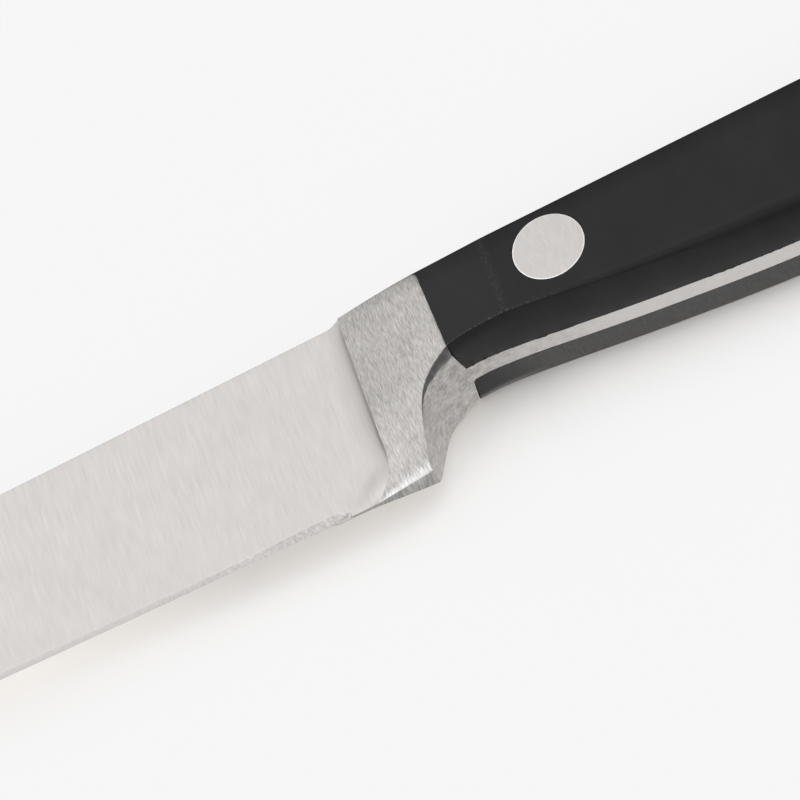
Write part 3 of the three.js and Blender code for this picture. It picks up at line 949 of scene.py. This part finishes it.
# Pale colour for the rubbed crease and the painted highlight at the facet's end.
RUBBED_AND_LIT_PLASTIC = (0.17, 0.17, 0.17)
PALE_SPECKS = (0.46, 0.68)
SPECK_SIZE, SPECK_TURN = (0.14 * mm, 0.5 * mm, 0.5 * mm), (0, 0, 8)
CLOUD_SIZE = (5 * mm, 8 * mm, 5 * mm)
SANDING_SIZE, SANDING_TURN = (0.3 * mm, 2.4 * mm, 1.2 * mm), (0, 0, 4)
SANDING_DEPTH = 0.004 * mm
SANDED_ROUGHNESS = (0.32, 0.42)
moulded = Finish("moulded_black", Specular_IOR_Level=0.23)
wear_and_highlight = moulded.node("ShaderNodeAttribute", attribute_name="scale_wear_and_highlight").outputs["Fac"]
specks = moulded.grain(SPECK_SIZE, SPECK_TURN, roughness=0.7)
pale_mark = moulded.product(wear_and_highlight, moulded.spread(specks, 0, 1, *PALE_SPECKS))
cloud = moulded.spread(moulded.grain(CLOUD_SIZE, detail=2), 0, 1)
black = moulded.tint(*BLACK_PLASTIC, cloud)
moulded.wire("Base Color", moulded.tint(black, RUBBED_AND_LIT_PLASTIC, pale_mark))
sanding = moulded.grain(SANDING_SIZE, SANDING_TURN)
moulded.wire("Roughness", moulded.spread(sanding, *SANDED_ROUGHNESS))
moulded.relief(sanding, SANDING_DEPTH)
for scale in (left_scale, right_scale):
    scale.data.materials.append(moulded.material)
    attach(scale, "root")
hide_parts("scale_left")
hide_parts("scale_right")


# Rivets
# Three compression rivets of steel: from the left a head with a tube, from the right a head with a pin
# that is pressed into it. Their heads are sunk in the scales and ground flush, with a painted highlight on
# the rim.
HEAD_RADIUS = (rivet_high.x - rivet_low.x) / 2
HEAD_THICKNESS = 1.8 * mm
SHANK_RADIUS = 2.2 * mm
PIN_RADIUS = 1.3 * mm
PIN_SHORT = 1 * mm
RIVET_FIT = 0.03 * mm
HOLE_FIT = 0.06 * mm
RIM_BREAK = 0.04 * mm
RIM_WIDTH = 0.07 * mm
RIM_FADE = 0.07 * mm
RIVET_SIDES = 96
FLAT_NORMAL = 0.9
RIVET_CORNER = math.radians(30)
SKIN_CORNER = math.radians(24)
HEAD_INSIDE = HANDLE_HALF - HEAD_THICKNESS
SHANK_END = RIVET_FIT - HEAD_INSIDE
BORE_END = HEAD_INSIDE - PIN_SHORT + RIVET_FIT
CUTTER_TOP = HANDLE_HALF * 2


def select_level(piece, height):
    """Selects the flat face of a turned piece that lies at a height, and nothing else."""
    for item in (*piece.data.vertices, *piece.data.edges, *piece.data.polygons):
        item.select = False
    for face in piece.data.polygons:
        is_end = abs(face.normal.z) > FLAT_NORMAL and len(face.vertices) > 4
        face.select = is_end and abs(face.center.z - height) < SKIN_WELD


def draw_face(piece, height, margin, reach):
    """Insets the flat face at a height by a margin and draws what is left out, or in, by a reach."""
    select_level(piece, height)
    bpy.ops.object.mode_set(mode="EDIT")
    bpy.ops.mesh.select_mode(type="FACE")
    bpy.ops.mesh.inset(thickness=margin)
    bpy.ops.mesh.extrude_region_move(TRANSFORM_OT_translate={"value": (0, 0, reach)})
    bpy.ops.object.mode_set(mode="OBJECT")


def headed_pin(name, head_radius, outer, inner, shank_radius, end):
    """A round head between two heights off the middle plane, with a shank drawn out of its inner face."""
    bpy.ops.object.select_all(action="DESELECT")
    bpy.ops.mesh.primitive_cylinder_add(
        vertices=RIVET_SIDES,
        radius=head_radius,
        depth=abs(outer - inner),
        location=(0, 0, (outer + inner) / 2),
    )
    piece = bpy.context.object
    piece.name = piece.data.name = name
    bpy.ops.object.transform_apply(location=True, rotation=True, scale=True)
    draw_face(piece, inner, head_radius - shank_radius, end - inner)
    return piece


def break_rim(piece, height):
    """Rounds a head's edge, and marks a narrow ring inside it for a painted highlight."""
    select_level(piece, height)
    bpy.ops.object.mode_set(mode="EDIT")
    bpy.ops.mesh.select_mode(type="FACE")
    bpy.ops.mesh.bevel(offset=RIM_BREAK, segments=3, affect="EDGES")
    bpy.ops.object.mode_set(mode="OBJECT")
    select_level(piece, height)
    bpy.ops.object.mode_set(mode="EDIT")
    bpy.ops.mesh.inset(thickness=RIM_WIDTH)
    bpy.ops.mesh.inset(thickness=RIM_FADE)
    bpy.ops.object.mode_set(mode="OBJECT")
    bright = HEAD_RADIUS - RIM_BREAK - RIM_WIDTH - SKIN_WELD
    values = []
    for corner in piece.data.vertices:
        on_ring = math.hypot(corner.co.x, corner.co.y) > bright
        values.append(1 if on_ring and abs(corner.co.z - height) < RIM_BREAK / 2 else 0)
    piece.data.attributes.new("wear_and_highlight", "FLOAT", "POINT").data.foreach_set("value", values)


socket = headed_pin("socket", HEAD_RADIUS, HANDLE_HALF, HEAD_INSIDE, SHANK_RADIUS, SHANK_END)
draw_face(socket, SHANK_END, SHANK_RADIUS - PIN_RADIUS - RIVET_FIT, BORE_END - SHANK_END)
break_rim(socket, HANDLE_HALF)
pin = headed_pin("pin", HEAD_RADIUS, -HANDLE_HALF, -HEAD_INSIDE, PIN_RADIUS, HEAD_INSIDE - PIN_SHORT)
break_rim(pin, -HANDLE_HALF)
hole = headed_pin(
    "hole", HEAD_RADIUS + HOLE_FIT, CUTTER_TOP, HEAD_INSIDE - HOLE_FIT,
    SHANK_RADIUS + HOLE_FIT, -HEAD_INSIDE,
)

rivet_satin = ground_steel(
    "rivet_satin", tone=1.06, contrast=0.03, roughness=0.32, relief=0.003 * mm,
    strokes=[
        ((0.2 * mm, 3 * mm, 3 * mm), (0, 0, 20)),
        ((0.4 * mm, 2 * mm, 2 * mm), (0, 0, -15)),
    ],
)


def select_only(piece):
    bpy.ops.object.select_all(action="DESELECT")
    piece.select_set(True)
    bpy.context.view_layer.objects.active = piece


def copied_to(pattern, name, place):
    """A copy of a turned piece with a mesh of its own, set upright at a place in the middle plane."""
    mesh = pattern.data.copy()
    piece = bpy.data.objects.new(name, mesh)
    bpy.context.scene.collection.objects.link(piece)
    select_only(piece)
    piece.location = place
    bpy.ops.object.transform_apply(location=True, rotation=True, scale=True)
    return piece


def drill(piece, cutter):
    """Cuts a cutter out of a piece and clears it away."""
    cut = piece.modifiers.new("holes", "BOOLEAN")
    cut.operation = "DIFFERENCE"
    cut.solver = "EXACT"
    cut.object = cutter
    select_only(piece)
    bpy.ops.object.modifier_apply(modifier=cut.name)
    bpy.data.objects.remove(cutter)


for place_name in ("front", "middle", "rear"):
    low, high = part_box(f"rivet_{place_name}_socket")
    middle = Vector(((low.x + high.x) / 2, (low.y + high.y) / 2, collar.z))
    for pattern, half_name in ((socket, "socket"), (pin, "pin")):
        rivet = copied_to(pattern, f"{place_name}_rivet_{half_name}", middle)
        rivet.data.materials.append(rivet_satin)
        bpy.ops.object.shade_smooth_by_angle(angle=RIVET_CORNER)
        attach(rivet, "root")
        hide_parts(f"rivet_{place_name}_{half_name}")
    for piece, turned in ((left_scale, 1), (right_scale, -1), (forging, 1)):
        cutter = copied_to(hole, "cutter", Vector())
        for corner in cutter.data.vertices:
            corner.co = middle + Vector((corner.co.x, corner.co.y * turned, corner.co.z * turned))
        drill(piece, cutter)
for pattern in (socket, pin, hole):
    bpy.data.objects.remove(pattern)
for piece in (forging, left_scale, right_scale):
    select_only(piece)
    bpy.ops.object.shade_smooth_by_angle(angle=SKIN_CORNER)
    for title in ("place", "station"):
        piece.data.attributes.remove(piece.data.attributes[title])


# Floor
# A wide matt sheet of pale card that the knife lies on. For the camera it also glows with painted light,
# more under the blade and where the sky above it is open, so that the blade's shadow stays pale and the
# shadows end soon. Where the knife covers it, a warm tint is painted into its shade.
FLOOR_SIZE = 12
CARD = (0.813, 0.813, 0.813)
SHADE_TINT = (1.055, 1, 0.94)
SHADE_REACH = 30 * mm
SHADE_SAMPLES = 8
DEEP_SHADE, LIGHT_SHADE = 0.1, 0.7
LIT_STEPS = ((0.42, -6 * mm, 6 * mm), (0.42, -52 * mm, -28 * mm))
OPEN_SHARE = 0.84
OPEN_FROM = (0.4, 0.78)
MIRRORED_SHARE = 0.95
LIT_CARD = (0.943, 0.943, 0.943)
bpy.ops.object.select_all(action="DESELECT")
bpy.ops.mesh.primitive_plane_add(size=FLOOR_SIZE, location=(0, 0, cad_low.z))
floor = bpy.context.object
floor.name = "floor"
card = Finish("pale_card", Roughness=1, Specular_IOR_Level=0)
uncovered = card.node(
    "ShaderNodeAmbientOcclusion", {"Distance": SHADE_REACH}, samples=SHADE_SAMPLES,
).outputs["AO"]
covered = card.spread(uncovered, 1, 0, DEEP_SHADE, LIGHT_SHADE)


def warmed_by_cover(colour):
    """The card's colour with a painted warm tint, stronger the more of the sky the knife covers."""
    return card.tint(colour, [channel * warm for channel, warm in zip(colour, SHADE_TINT)], covered)


card.wire("Base Color", warmed_by_cover(CARD))
seen_by = card.node("ShaderNodeLightPath").outputs
mirrored = card.node("ShaderNodeMath", {
    0: seen_by["Is Glossy Ray"], 1: seen_by["Is Transmission Ray"],
}, operation="MAXIMUM").outputs["Value"]
along = card.node("ShaderNodeSeparateXYZ", {"Vector": card.place}).outputs["X"]
# Painted light: for the camera the card glows more under the blade and where the sky above it is open.
lit_under_blade = card.sum(*(
    card.spread(along, share, 0, collar.x + full, collar.x + start) for share, full, start in LIT_STEPS
))
lit = card.node("ShaderNodeMath", {
    0: card.sum(lit_under_blade, card.spread(uncovered, 0, OPEN_SHARE, *OPEN_FROM)), 1: OPEN_SHARE,
}, operation="MINIMUM").outputs["Value"]
lit_card = card.node("ShaderNodeMixShader", {
    0: card.sum(card.product(seen_by["Is Camera Ray"], lit), card.product(mirrored, MIRRORED_SHARE)),
    1: card.shader.outputs["BSDF"],
    2: card.node("ShaderNodeEmission", {"Color": warmed_by_cover(LIT_CARD)}).outputs["Emission"],
})
card.tree.links.new(lit_card.outputs["Shader"], card.tree.nodes["Material Output"].inputs["Surface"])
floor.data.materials.append(card.material)


# Light
# Five soft patches of a dim sky: a softbox above on the left, behind the knife, that the blade's side
# mirrors, a pale screen low behind it, a sheet on the left, a narrow strip in front of that for the curl
# under the bolster, and a broad one high on the right. Each has a direction, a strength and a soft edge.
HORIZON = 0.1
LAMPS = [
    ((-0.38, 0.3, 0.87), 1.42, (0.7, 0.93)),
    ((-0.77, 0.63, 0.05), 1.05, (0.65, 0.92)),
    ((-0.75, -0.2, 0.63), 1.6, (0.85, 0.97)),
    ((-0.54, -0.6, 0.6), 1.9, (0.9, 0.96)),
    ((0.67, -0.25, 0.7), 1.2, (0.56, 0.86)),
]

world = bpy.data.worlds.new("studio")
bpy.context.scene.world = world
world.use_nodes = True
dome = world.node_tree
towards = dome.nodes.new("ShaderNodeTexCoord").outputs["Generated"]
brightest = dome.nodes.new("ShaderNodeValue").outputs["Value"]
brightest.default_value = HORIZON
for direction, strength, fade in LAMPS:
    facing = dome.nodes.new("ShaderNodeVectorMath")
    facing.operation = "DOT_PRODUCT"
    dome.links.new(towards, facing.inputs[0])
    facing.inputs[1].default_value = Vector(direction).normalized()
    level = dome.nodes.new("ShaderNodeMapRange")
    level.interpolation_type = "SMOOTHSTEP"
    dome.links.new(facing.outputs["Value"], level.inputs["Value"])
    level.inputs["From Min"].default_value, level.inputs["From Max"].default_value = fade
    level.inputs["To Max"].default_value = strength
    brighter = dome.nodes.new("ShaderNodeMath")
    brighter.operation = "MAXIMUM"
    dome.links.new(level.outputs["Result"], brighter.inputs[0])
    dome.links.new(brightest, brighter.inputs[1])
    brightest = brighter.outputs["Value"]
dome.links.new(brightest, dome.nodes["Background"].inputs["Strength"])
dome.nodes["Background"].inputs["Color"].default_value = (1, 1, 1, 1)
